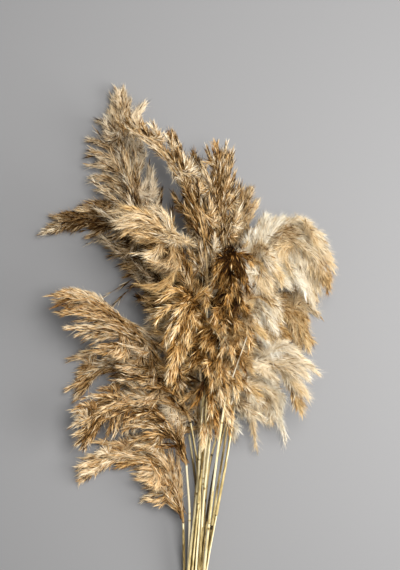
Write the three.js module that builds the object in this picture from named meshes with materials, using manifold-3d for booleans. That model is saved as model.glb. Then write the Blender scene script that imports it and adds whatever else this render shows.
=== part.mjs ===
// A bundle of cut, dried pampas grass, lying on a flat surface. Twenty culms are packed side by side
// near their cut ends and fan out towards +Y, and each carries one drooping plume. A plume is a slim
// core with curved, tapering strands that stream to one side. Millimetres, +Z up, surface at Z = 0.
import * as THREE from "three";
import { mergeVertices } from "three/addons/utils/BufferGeometryUtils.js";
import Module from "manifold-3d";

const wasm = await Module();
wasm.setup();

// Culms
const CULM_SIDES = 6;
const CULM_RADIUS = 2.3; // from the cut end to the waist
const CULM_TOP_RADIUS = 1.7; // where the plume begins
const CULM_APOTHEM = CULM_RADIUS * Math.cos(Math.PI / CULM_SIDES);
const NODE_SWELL = 1.25; // a swollen node's radius over the culm's
const NODE_HALF = 2.5; // half the length of a node
const NODE_LOW = 0.2; // the node lies between these shares of the way from waist to plume
const NODE_HIGH = 0.85;
const NODE_TRIES = 24; // places tried for a node
const CUT_END_Y = -142; // the longest culm's cut end
const CUT_STAGGER = 26; // how much shorter the shortest culm is cut
const LOW_STAGGER = 0.3; // the share of that for the culms that lie on the surface
const WAIST_Y = -66; // where the culms are packed closest
const WAIST_X = -9;
const SPLAY = 1.14; // the bundle's width at the cut ends over that at the waist
const WAIST_ROWS = [5, 5, 5, 5]; // culms in each row of the pack, from the surface up
const STATION_STEP = 66; // length of a culm between two of its sections
const GAP = 0.3; // between pieces that touch
const SETTLE_TURNS = 200; // most rounds of pushing apart culms that lie too close
const SETTLE_SHIFTS = [-0.8, -0.6, -0.4, -0.2, 0, 0.2, 0.4, 0.6, 0.8]; // of a station's step
const SETTLE_EXTRA = 0.04; // how far past the gap a culm is pushed
const SETTLED = 0.15; // how far under the gap two culms may still lie

// Cores of the plumes
const CORE_SIDES = 6;
const CORE_SECTIONS = [
  // share of the core's length, radius
  [0, CULM_TOP_RADIUS],
  [0.06, 3.2],
  [0.24, 7],
  [0.5, 7],
  [0.78, 4.5],
  [1, 0],
];
const CORE_RADIUS = Math.max(...CORE_SECTIONS.map(([, radius]) => radius));
const CORE_FLARE = 0.12; // how fast a core widens from its foot

// Strands of the plumes
const STRAND_SIDES = 3;
const STRAND_SHARES = [0, 0.34, 0.67, 1]; // where a strand's sections lie along it
const STRAND_RADII = [1.2, 3.4, 3.4, 0];
const STRAND_FLATNESS = 0.8; // a strand's thickness over its width
const STRAND_TURN = 2.399963; // radians round the core from one strand to the next
const FIRST_STRAND = 0.03; // share of the core's length below which nothing grows
const LAST_STRAND = 0.97; // and above which nothing grows
const SHORTEST = 0.42; // the length of the strands at the tip over the longest
const LENGTH_START = 0.24; // where the foot lies on the half wave that lengths follow
const FLATNESS = 0.5; // how far strands spread up and down over how far they spread to the sides
const SINK = 0.45; // height of a strand's middle over the surface that it lies on, over its thickness

// How much strands vary, and how they are kept apart
const LENGTH_VARIES = 0.15;
const TURN_VARIES = 0.25; // radians
const STREAM_VARIES = 0.16;
const TRIES = 20; // places tried for a strand before it is left out
const TURN_SEARCH = 2.5; // radians that the last try may turn away
const LENGTH_SEARCH = 0.45; // share by which the last try is shorter
const CLEARANCE = 0.2; // least gap between strands of different plumes, and to the culms
const OWN_OVERLAP = 0.5; // how far strands of one plume may run into each other past their roots
const SIMPLIFY = 0.05; // slivers thinner than this are removed
const SEED = 20414;

const CULM_COLOUR = 0xd8c39a;
const PLUME_COLOURS = { brown: 0x9c7b50, gold: 0xb98a52, cream: 0xd9bf93 };

// Each plume: the four control points of its core, the reach of its longest strand, the way its
// strands stream and how strongly, the angles (radians) between core and strand at the plume's foot
// and tip, and how many strands it has.
const PLUMES = [
  {
    name: "crown",
    tone: "brown",
    core: [[-8, 288, 48], [-38, 372, 44], [-108, 440, 26], [-94, 570, 14]],
    reach: 86, stream: [-0.3, 0.95, -0.15], pull: 0.35, splay: [0.95, 0.5], strands: 30,
  },
  {
    name: "arch",
    tone: "brown",
    core: [[8, 324, 100], [14, 424, 112], [-20, 504, 106], [-92, 530, 80]],
    reach: 56, stream: [-0.45, 0.89, -0.15], pull: 0.5, splay: [0.45, 0.3], strands: 20,
  },
  {
    name: "spire_left",
    tone: "brown",
    core: [[8, 312, 70], [4, 396, 74], [-8, 450, 72], [-32, 512, 62]],
    reach: 60, stream: [-0.35, 0.93, -0.15], pull: 0.5, splay: [0.6, 0.3], strands: 13,
  },
  {
    name: "spire_thin",
    tone: "brown",
    core: [[17, 300, 52], [16, 384, 46], [6, 436, 42], [-3, 490, 40]],
    reach: 58, stream: [0, 1, -0.15], pull: 0.5, splay: [0.6, 0.3], strands: 11,
  },
  {
    name: "spire_centre",
    tone: "brown",
    core: [[20, 288, 80], [26, 360, 90], [27, 432, 92], [20, 492, 82]],
    reach: 68, stream: [0.05, 1, -0.15], pull: 0.4, splay: [0.65, 0.4], strands: 20,
  },
  {
    name: "spire_right",
    tone: "cream",
    core: [[26, 276, 30], [39, 348, 18], [50, 404, 12], [57, 448, 12]],
    reach: 64, stream: [0.15, 1, -0.15], pull: 0.45, splay: [0.65, 0.4], strands: 18,
  },
  {
    name: "left_upper",
    tone: "brown",
    core: [[-6, 270, 30], [-36, 398, 22], [-84, 448, 12], [-178, 416, 12]],
    reach: 80, stream: [-0.97, -0.24, -0.15], pull: 0.6, splay: [0.6, 0.3], strands: 25,
  },
  {
    name: "left_high",
    tone: "gold",
    core: [[-12, 174, 60], [-42, 264, 74], [-96, 312, 80], [-150, 328, 68]],
    reach: 94, stream: [-0.97, -0.22, -0.15], pull: 0.7, splay: [0.7, 0.35], strands: 28,
  },
  {
    name: "left_middle",
    tone: "gold",
    core: [[-14, 156, 24], [-42, 240, 14], [-104, 276, 12], [-146, 214, 12]],
    reach: 74, stream: [-0.9, -0.42, -0.15], pull: 0.6, splay: [0.7, 0.35], strands: 24,
  },
  {
    name: "left_low",
    tone: "gold",
    core: [[-17, 120, 46], [-36, 208, 56], [-110, 224, 62], [-140, 152, 52]],
    reach: 76, stream: [-0.8, -0.6, -0.15], pull: 0.6, splay: [0.7, 0.35], strands: 25,
  },
  {
    name: "left_lowest",
    tone: "gold",
    core: [[-21, 44, 26], [-26, 122, 18], [-76, 156, 14], [-138, 106, 12]],
    reach: 66, stream: [-0.92, -0.39, -0.15], pull: 0.6, splay: [0.75, 0.4], strands: 25,
  },
  {
    name: "right_dome",
    tone: "cream",
    core: [[46, 234, 62], [56, 424, 78], [118, 460, 86], [152, 358, 66]],
    reach: 86, stream: [0.25, -0.95, -0.15], pull: 0.75, splay: [0.7, 0.35], strands: 36,
  },
  {
    name: "right_middle",
    tone: "cream",
    core: [[41, 210, 28], [58, 330, 16], [108, 362, 12], [124, 284, 14]],
    reach: 82, stream: [0.36, -0.93, -0.15], pull: 0.7, splay: [0.7, 0.35], strands: 26,
  },
  {
    name: "right_low",
    tone: "cream",
    core: [[34, 186, 72], [54, 256, 94], [98, 288, 106], [114, 208, 84]],
    reach: 72, stream: [0.42, -0.91, -0.15], pull: 0.7, splay: [0.7, 0.35], strands: 25,
  },
  {
    name: "right_lowest",
    tone: "cream",
    core: [[26, 174, 38], [44, 218, 38], [76, 236, 36], [92, 190, 24]],
    reach: 72, stream: [0, -1, -0.15], pull: 0.85, splay: [0.7, 0.35], strands: 23,
  },
  {
    name: "front_hanging",
    tone: "gold",
    core: [[8, 210, 90], [12, 356, 142], [-28, 360, 174], [-24, 230, 156]],
    reach: 68, stream: [-0.35, -0.93, -0.15], pull: 0.6, splay: [0.8, 0.4], strands: 25,
  },
  {
    name: "front_left",
    tone: "cream",
    core: [[2, 204, 76], [-4, 336, 112], [-22, 430, 142], [-84, 418, 128]],
    reach: 74, stream: [-0.9, -0.42, -0.15], pull: 0.6, splay: [0.8, 0.4], strands: 27,
  },
  {
    name: "front_centre",
    tone: "gold",
    core: [[12, 180, 66], [22, 264, 108], [34, 330, 142], [38, 386, 150]],
    reach: 70, stream: [0, -1, -0.15], pull: 0.5, splay: [1, 0.6], strands: 26,
  },
  {
    name: "front_right",
    tone: "cream",
    core: [[32, 216, 96], [48, 320, 120], [58, 420, 132], [74, 346, 122]],
    reach: 62, stream: [0, -1, -0.15], pull: 0.6, splay: [0.8, 0.4], strands: 23,
  },
  {
    name: "centre_low",
    tone: "brown",
    core: [[0, 150, 44], [-6, 240, 50], [-26, 320, 52], [-54, 276, 50]],
    reach: 64, stream: [-0.45, -0.9, -0.15], pull: 0.6, splay: [0.8, 0.4], strands: 20,
  },
];

// A repeatable random number from 0 to 1.
function randomFrom(seed) {
  let state = seed >>> 0;
  return () => {
    state = (state + 0x6d2b79f5) >>> 0;
    let t = state;
    t = Math.imul(t ^ (t >>> 15), t | 1);
    t ^= t + Math.imul(t ^ (t >>> 7), t | 61);
    return ((t ^ (t >>> 14)) >>> 0) / 4294967296;
  };
}

const random = randomFrom(SEED);
const varied = (amount) => amount * (2 * random() - 1);
const vector = (numbers) => new THREE.Vector3(...numbers);

// A geometry as a solid: only its positions, welded, without the faces that collapse at the poles.
function solidOf(geometry) {
  const bare = new THREE.BufferGeometry();
  bare.setAttribute("position", geometry.getAttribute("position"));
  bare.setIndex(geometry.index);
  const welded = mergeVertices(bare, 1e-4);
  const corners = welded.index.array;
  const kept = [];
  for (let i = 0; i < corners.length; i += 3) {
    const [a, b, c] = [corners[i], corners[i + 1], corners[i + 2]];
    if (a !== b && b !== c && c !== a) kept.push(a, b, c);
  }
  return new wasm.Manifold(
    new wasm.Mesh({
      numProp: 3,
      vertProperties: new Float32Array(welded.attributes.position.array),
      triVerts: new Uint32Array(kept),
    }),
  );
}

// A solid as a geometry.
function geometryOf(solid) {
  const mesh = solid.getMesh();
  const positions = new Float32Array(mesh.numVert * 3);
  for (let i = 0; i < mesh.numVert; i++) {
    const start = i * mesh.numProp;
    positions.set(mesh.vertProperties.subarray(start, start + 3), i * 3);
  }
  const geometry = new THREE.BufferGeometry();
  geometry.setAttribute("position", new THREE.BufferAttribute(positions, 3));
  geometry.setIndex(new THREE.BufferAttribute(new Uint32Array(mesh.triVerts), 1));
  geometry.computeVertexNormals();
  return geometry;
}

// A lathe turned about a straight line and then laid along centres, one section at each. across
// gives, for each section, the two directions that span it, and the second is scaled by flatness.
function laidLathe(centres, radii, sides, across, flatness = 1) {
  const last = centres.length - 1;
  const profile = radii.map((radius, i) => new THREE.Vector2(radius, i));
  if (radii[0] > 0) profile.unshift(new THREE.Vector2(0, 0));
  if (radii[last] > 0) profile.push(new THREE.Vector2(0, last));
  const geometry = new THREE.LatheGeometry(profile, sides, Math.PI / sides);
  const position = geometry.getAttribute("position");
  const point = new THREE.Vector3();
  for (let i = 0; i < position.count; i++) {
    const section = Math.round(position.getY(i));
    const [u, v] = across(section);
    point.copy(centres[section]);
    point.addScaledVector(u, position.getX(i));
    point.addScaledVector(v, position.getZ(i) * flatness);
    position.setXYZ(i, point.x, point.y, point.z);
  }
  return solidOf(geometry);
}

// The two directions that span each section square to a curved line through centres: one level,
// one upright.
function squareTo(centres) {
  const last = centres.length - 1;
  const pairs = centres.map((_, i) => {
    const tangent = centres[Math.min(i + 1, last)].clone().sub(centres[Math.max(i - 1, 0)]);
    const level = tangent.clone().cross(new THREE.Vector3(0, 0, 1)).normalize();
    return [level, level.clone().cross(tangent.normalize())];
  });
  return (i) => pairs[i];
}

// The two directions that span a section across Y.
const ACROSS_Y = [new THREE.Vector3(1, 0, 0), new THREE.Vector3(0, 0, 1)];

// Where a line through centres crosses a given Y, or null past its ends.
function crossing(centres, y) {
  for (let i = 0; i + 1 < centres.length; i++) {
    const [a, b] = [centres[i], centres[i + 1]];
    if (y >= a.y && y <= b.y) return a.clone().lerp(b, (y - a.y) / (b.y - a.y));
  }
  return null;
}

// Where each culm lies in the pack at the waist: rows by the height of the plume's foot, and in
// each row from left to right by the foot's place.
function waistPlaces(plumes) {
  const byHeight = [...plumes].sort((a, b) => a.curve.v0.z - b.curve.v0.z);
  const rowStep = 2 * CULM_APOTHEM + GAP;
  const culmStep = rowStep / Math.cos(Math.PI / CULM_SIDES);
  const places = new Map();
  WAIST_ROWS.forEach((count, row) => {
    const members = byHeight.splice(0, count);
    members.sort((a, b) => a.curve.v0.x - b.curve.v0.x);
    members.forEach((plume, i) => {
      const x = WAIST_X + (i - (count - 1) / 2) * culmStep;
      places.set(plume.name, new THREE.Vector3(x, WAIST_Y, CULM_APOTHEM + row * rowStep));
    });
  });
  return places;
}

// The sections of one culm before the culms are pushed apart: straight to the waist, then a smooth
// curve into the plume's core. The curve's Y runs evenly, because its controls are thirds.
function culmCentres(plume, waist, cutEnd) {
  const foot = plume.curve.v0;
  const run = foot.y - WAIST_Y;
  const rise = plume.curve.v1.clone().sub(foot);
  const leave = new THREE.Vector3((foot.x - waist.x) * 0.25, run / 3, (foot.z - waist.z) * 0.2);
  const arrive = rise.multiplyScalar(run / 3 / rise.y);
  const curve = new THREE.CubicBezierCurve3(waist, leave.add(waist), foot.clone().sub(arrive), foot);
  const steps = Math.max(2, Math.round(run / STATION_STEP));
  const start = new THREE.Vector3(WAIST_X + (waist.x - WAIST_X) * SPLAY, cutEnd, waist.z);
  return [start, ...curve.getPoints(steps)];
}

// The culms before they settle: { name, centres, radiusAt }.
function layCulms(plumes) {
  const waists = waistPlaces(plumes);
  return plumes.map((plume) => {
    const waist = waists.get(plume.name);
    const isLow = waist.z < CULM_RADIUS;
    const cutEnd = CUT_END_Y + (isLow ? LOW_STAGGER : 1) * CUT_STAGGER * random();
    const top = plume.curve.v0.y;
    const radiusAt = (y) => {
      const share = THREE.MathUtils.clamp((y - WAIST_Y) / (top - WAIST_Y), 0, 1);
      return THREE.MathUtils.lerp(CULM_RADIUS, CULM_TOP_RADIUS, share);
    };
    return { name: plume.name, centres: culmCentres(plume, waist, cutEnd), radiusAt };
  });
}

// The stretch of each core that rises along Y, as a culm passes it: { name, centres, radiusAt }.
function risingCores(plumes) {
  return plumes.map((plume) => {
    const points = plume.curve.getPoints(24);
    const turn = points.findIndex((p, i) => i > 0 && p.y < points[i - 1].y);
    const centres = turn > 0 ? points.slice(0, turn) : points;
    const radiusAt = (y) => Math.min(CORE_RADIUS, CULM_TOP_RADIUS + (y - points[0].y) * CORE_FLARE);
    return { name: plume.name, centres, radiusAt };
  });
}

// The flats of a six-sided section across Y face these ways, and the opposite ones.
const FLAT_DIRECTIONS = [30, 90, 150].map((degrees) => {
  const angle = THREE.MathUtils.degToRad(degrees);
  return new THREE.Vector3(Math.cos(angle), 0, Math.sin(angle));
});

// The gap between two sections whose middles lie away from each other and whose radii sum to radii,
// and the direction in which it is widest.
function flatGap(away, radii) {
  const apothems = radii * Math.cos(Math.PI / CULM_SIDES);
  let best = { gap: -Infinity, direction: null };
  for (const flat of FLAT_DIRECTIONS) {
    const reach = away.dot(flat);
    const gap = Math.abs(reach) - apothems;
    if (gap > best.gap) best = { gap, direction: flat.clone().multiplyScalar(reach < 0 ? -1 : 1) };
  }
  return best;
}

// Pushes one section of a culm away from another culm or core where it passes too close, and
// returns how much too close it was.
function pushAway(culm, here, other) {
  let worst = 0;
  for (const shift of SETTLE_SHIFTS) {
    const y = here.y + shift * STATION_STEP;
    const mine = crossing(culm.centres, y);
    const theirs = crossing(other.centres, y);
    if (!mine || !theirs) continue;
    const { gap, direction } = flatGap(mine.sub(theirs), culm.radiusAt(y) + other.radiusAt(y));
    if (gap >= GAP) continue;
    worst = Math.max(worst, GAP - gap);
    here.addScaledVector(direction, (GAP - gap + SETTLE_EXTRA) * (0.5 - Math.abs(shift) / 4));
    here.z = Math.max(CULM_APOTHEM, here.z);
  }
  return worst;
}

// Pushes the culms' inner sections apart until no culm lies too close to another or to a core.
function settle(culms, cores) {
  for (let turn = 0; turn < SETTLE_TURNS; turn++) {
    let worst = 0;
    for (const culm of culms) {
      const others = [...culms, ...cores].filter((other) => other.name !== culm.name);
      for (const here of culm.centres.slice(2, -1)) {
        for (const other of others) worst = Math.max(worst, pushAway(culm, here, other));
      }
    }
    if (worst < SETTLED) return;
  }
  throw new Error("the culms don't settle clear of each other");
}

// The first of several places along a culm where its swollen node clears the other culms and cores,
// or null where there is none.
function nodePlace(culm, others) {
  const top = culm.centres[culm.centres.length - 1].y;
  const first = random();
  for (let i = 0; i < NODE_TRIES; i++) {
    const share = THREE.MathUtils.lerp(NODE_LOW, NODE_HIGH, (first + i / NODE_TRIES) % 1);
    const y = THREE.MathUtils.lerp(WAIST_Y, top, share);
    const here = crossing(culm.centres, y);
    const isFree = others.every((other) => {
      const there = other === culm ? null : crossing(other.centres, y);
      const radii = (culm.radiusAt(y) + other.radiusAt(y)) * NODE_SWELL;
      return !there || flatGap(there.sub(here), radii).gap >= GAP;
    });
    if (isFree) return y;
  }
  return null;
}

// One culm, swollen at its node, cut flat at both ends.
function culmSolid({ centres, radiusAt, nodeY }) {
  const sections = centres.map((centre) => [centre, radiusAt(centre.y)]);
  if (nodeY !== null) {
    for (const [shift, swell] of [[-1, 1], [0, NODE_SWELL], [1, 1]]) {
      const y = nodeY + shift * NODE_HALF;
      sections.push([crossing(centres, y), radiusAt(y) * swell]);
    }
  }
  sections.sort((a, b) => a[0].y - b[0].y);
  const radii = sections.map(([, radius]) => radius);
  return laidLathe(sections.map(([centre]) => centre), radii, CULM_SIDES, () => ACROSS_Y);
}

// Everything placed so far, as thick segments: { plant, p, q, radius, isRoot, low, high }. Heights are
// stretched until a flat strand is round, so that flat strands may lie close over each other.
const placed = [];

function segmentsOf(plant, centres, radii, { flatness = 1, isCore = false } = {}) {
  const points = centres.map((c) => new THREE.Vector3(c.x, c.y, c.z / STRAND_FLATNESS));
  const found = [];
  for (let i = 0; i + 1 < centres.length; i++) {
    for (const [from, to] of [[0, 0.5], [0.5, 1]]) {
      const ends = [from, to].map((t) => THREE.MathUtils.lerp(radii[i], radii[i + 1], t));
      const radius = (Math.max(...ends) * flatness) / STRAND_FLATNESS;
      const [p, q] = [from, to].map((t) => points[i].clone().lerp(points[i + 1], t));
      const low = p.clone().min(q).subScalar(radius);
      const high = p.clone().max(q).addScalar(radius);
      found.push({ plant, p, q, radius, isRoot: isCore || i === 0, low, high });
    }
  }
  return found;
}

// The least distance between two straight segments.
function segmentDistance(p, q, r, s) {
  const d1 = q.clone().sub(p);
  const d2 = s.clone().sub(r);
  const w = p.clone().sub(r);
  const a = d1.dot(d1);
  const b = d1.dot(d2);
  const c = d2.dot(d2);
  const d = d1.dot(w);
  const e = d2.dot(w);
  const clamp = (x) => Math.min(1, Math.max(0, x));
  const det = a * c - b * b;
  const first = det > 1e-9 ? clamp((b * e - c * d) / det) : 0;
  const u = clamp((b * first + e) / c);
  const t = clamp((b * u - d) / a);
  return w.addScaledVector(d1, t).addScaledVector(d2, -u).length();
}

function isApart(a, b, gap) {
  return (
    a.low.x > b.high.x + gap || b.low.x > a.high.x + gap ||
    a.low.y > b.high.y + gap || b.low.y > a.high.y + gap ||
    a.low.z > b.high.z + gap || b.low.z > a.high.z + gap ||
    segmentDistance(a.p, a.q, b.p, b.q) > a.radius + b.radius + gap
  );
}

// Whether new segments keep clear of all other plants, and of their own plant past the roots.
function isClear(segments) {
  return segments.every((a) =>
    placed.every((b) => {
      const isOwn = a.plant === b.plant;
      if (isOwn && (a.isRoot || b.isRoot)) return true;
      return isApart(a, b, isOwn ? -OWN_OVERLAP : CLEARANCE);
    }),
  );
}

// The core of a plume. Its first section lies across Y, face to face with the culm's top.
function addCore(plume) {
  const centres = CORE_SECTIONS.map(([share]) => plume.curve.getPoint(share));
  const radii = CORE_SECTIONS.map(([, radius]) => radius);
  centres[0].y += GAP;
  const square = squareTo(centres);
  const across = (i) => (i === 0 ? ACROSS_Y : square(i));
  plume.solids.push(laidLathe(centres, radii, CORE_SIDES, across));
  placed.push(...segmentsOf(plume.name, centres, radii, { isCore: true }));
}

// The sections of one try at a strand, from its root on the core at a share of the core's length.
// It leaves the core at an angle and turns towards the plume's stream. wander, from 0 to 1, says how
// far the try strays from the strand's proper place and length. On the surface it lies flat.
function strandCentres(plume, index, share, wander) {
  const root = plume.curve.getPoint(share);
  const tangent = plume.curve.getTangent(share);
  const turn = STRAND_TURN * index + varied(TURN_VARIES + TURN_SEARCH * wander);
  const level = new THREE.Vector3(0, 0, 1).cross(tangent).normalize();
  const upright = tangent.clone().cross(level);
  const side = level.multiplyScalar(Math.cos(turn)).addScaledVector(upright, FLATNESS * Math.sin(turn));
  const angle = THREE.MathUtils.lerp(...plume.splay, share);
  const start = tangent.multiplyScalar(Math.cos(angle)).addScaledVector(side, Math.sin(angle));

  const stray = new THREE.Vector3(varied(1), varied(1), varied(FLATNESS));
  const stream = vector(plume.stream).normalize();
  stream.addScaledVector(stray, STREAM_VARIES * (1 + wander)).normalize();
  const end = start.clone().lerp(stream, plume.pull).normalize();

  const wave = Math.sin(Math.PI * THREE.MathUtils.lerp(LENGTH_START, 1, share));
  const fullLength = plume.reach * THREE.MathUtils.lerp(SHORTEST, 1, wave);
  const length = fullLength * (1 + varied(LENGTH_VARIES)) * (1 - LENGTH_SEARCH * wander);
  const bend = root.clone().addScaledVector(start, length / 2);
  const tip = bend.clone().addScaledVector(end, length / 2);
  const curve = new THREE.QuadraticBezierCurve3(root, bend, tip);
  return STRAND_SHARES.map((along, i) => {
    const centre = curve.getPoint(along);
    centre.z = Math.max(centre.z, STRAND_RADII[i] * STRAND_FLATNESS * SINK);
    return centre;
  });
}

// One strand of a plume, at the first of several tries that is clear of everything.
function addStrand(plume, index) {
  const share = THREE.MathUtils.lerp(FIRST_STRAND, LAST_STRAND, (index + 0.5) / plume.strands);
  for (let attempt = 0; attempt < TRIES; attempt++) {
    const centres = strandCentres(plume, index, share, attempt / TRIES);
    const segments = segmentsOf(plume.name, centres, STRAND_RADII, { flatness: STRAND_FLATNESS });
    if (!isClear(segments)) continue;
    const across = squareTo(centres);
    plume.solids.push(laidLathe(centres, STRAND_RADII, STRAND_SIDES, across, STRAND_FLATNESS));
    placed.push(...segments);
    return;
  }
}

// The plume as one solid, flat where it meets the surface. Loose scraps and sealed hollows go.
function plumeSolid(plume) {
  const whole = wasm.Manifold.union(plume.solids).trimByPlane([0, 0, 1], 0).asOriginal().simplify(SIMPLIFY);
  return whole.decompose().reduce((best, one) => (one.volume() > best.volume() ? one : best));
}

function meshOf(name, solid, colour) {
  const material = new THREE.MeshStandardMaterial({ color: colour, roughness: 0.9, metalness: 0 });
  const mesh = new THREE.Mesh(geometryOf(solid), material);
  mesh.name = name;
  return mesh;
}

// Moves the group so that the origin lies under the middle of its box, on the surface.
function centre(group) {
  const box = new THREE.Box3().setFromObject(group);
  group.position.set(-(box.min.x + box.max.x) / 2, -(box.min.y + box.max.y) / 2, 0);
}

function build() {
  const plumes = PLUMES.map((given) => {
    const curve = new THREE.CubicBezierCurve3(...given.core.map(vector));
    return { ...given, curve, solids: [] };
  });
  const culms = layCulms(plumes);
  const cores = risingCores(plumes);
  settle(culms, cores);
  for (const culm of culms) {
    culm.nodeY = nodePlace(culm, [...culms, ...cores]);
    const radii = culm.centres.map(() => CULM_RADIUS);
    placed.push(...segmentsOf("culm " + culm.name, culm.centres, radii));
  }
  for (const plume of plumes) addCore(plume);
  const most = Math.max(...plumes.map((plume) => plume.strands));
  for (let index = 0; index < most; index++) {
    for (const plume of plumes) {
      if (index < plume.strands) addStrand(plume, index);
    }
  }

  const group = new THREE.Group();
  for (const culm of culms) group.add(meshOf("culm_" + culm.name, culmSolid(culm), CULM_COLOUR));
  for (const plume of plumes) {
    group.add(meshOf("plume_" + plume.name, plumeSolid(plume), PLUME_COLOURS[plume.tone]));
  }
  centre(group);
  return group;
}

export default build();
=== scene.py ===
"""A bundle of cut, dried pampas grass on a pale surface, seen from above.

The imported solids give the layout. Each culm gets a round, jointed stalk along its solid's middle line.
Each plume keeps its solid's strands as fingers: a finger is the middle line of a bunch of side branches,
which carry bracts and silk. Lengths are in millimetres until a mesh is made. A share runs from 0 at the
start of a line to 1 at its end, and a tone from 0, dark, to 1, pale.
"""

import math

import bpy
import numpy as np
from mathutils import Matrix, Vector


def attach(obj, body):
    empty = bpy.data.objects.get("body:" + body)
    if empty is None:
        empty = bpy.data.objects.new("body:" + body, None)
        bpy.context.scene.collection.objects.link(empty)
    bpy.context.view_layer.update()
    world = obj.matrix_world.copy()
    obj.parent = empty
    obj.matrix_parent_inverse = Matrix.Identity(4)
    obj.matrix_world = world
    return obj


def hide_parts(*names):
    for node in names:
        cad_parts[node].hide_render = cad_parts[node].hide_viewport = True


MM = 0.001
SEED = 4417
FLOOR_GAP = 0.1  # least height of anything over the surface
TINY = 1e-9

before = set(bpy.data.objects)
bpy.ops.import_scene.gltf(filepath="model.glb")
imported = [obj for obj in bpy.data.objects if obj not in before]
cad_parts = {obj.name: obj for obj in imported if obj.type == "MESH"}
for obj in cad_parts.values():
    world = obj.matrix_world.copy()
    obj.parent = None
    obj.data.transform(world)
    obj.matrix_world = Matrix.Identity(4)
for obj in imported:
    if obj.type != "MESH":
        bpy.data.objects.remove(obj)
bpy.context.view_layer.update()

# How each kind of plume looks. tone is the middle of its tones, streak how much its bracts vary, and tips
# how much paler a side branch is at its tip than at its root: partly the bracts' own colour, and partly
# painted shade, darker where the branches start deep in the plume. splay is the angle of bracts to their
# branch in degrees, curl how far they bend outwards, step the length of branch for each, and silk the hairs
# for each. ramp is its colours, from dark to pale.
KINDS = {
    "tan": dict(
        slot="plume_brown", tone=0.6, streak=0.33, tips=0.42, splay=14, curl=0.1, step=1.9, silk=1.0,
        ramp=[(34, 18, 4), (94, 64, 28), (176, 146, 102), (222, 206, 176), (236, 226, 206)]),
    "umber": dict(
        slot="plume_brown", tone=0.53, streak=0.3, tips=0.42, splay=11, curl=0.06, step=1.9, silk=0.4,
        ramp=[(32, 16, 3), (96, 64, 26), (170, 136, 86), (219, 195, 153), (240, 228, 204)]),
    "gold": dict(
        slot="plume_gold", tone=0.56, streak=0.3, tips=0.42, splay=10, curl=0.06, step=1.9, silk=0.4,
        ramp=[(32, 16, 3), (100, 66, 28), (180, 140, 86), (230, 200, 150), (242, 228, 200)]),
    "amber": dict(
        slot="plume_gold", tone=0.48, streak=0.26, tips=0.48, splay=14, curl=0.12, step=1.9, silk=0.6,
        ramp=[(30, 14, 3), (100, 64, 22), (180, 136, 74), (226, 194, 136), (242, 228, 196)]),
    "blond": dict(
        slot="plume_cream", tone=0.57, streak=0.26, tips=0.46, splay=13, curl=0.12, step=2.2, silk=1.6,
        ramp=[(36, 20, 6), (116, 84, 44), (198, 168, 120), (227, 208, 172), (232, 222, 200)]),
    "cream": dict(
        slot="plume_cream", tone=0.65, streak=0.2, tips=0.3, splay=15, curl=0.14, step=2.2, silk=2.8,
        ramp=[(80, 58, 30), (168, 138, 96), (212, 198, 168), (228, 222, 206), (232, 228, 216)]),
}

# What a plume takes for each that it doesn't say itself.
PLAIN = dict(warmth=(0.25, 0.2, 0.25), extras=26, pull=0.6, angles=(0.7, 0.35))

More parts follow.
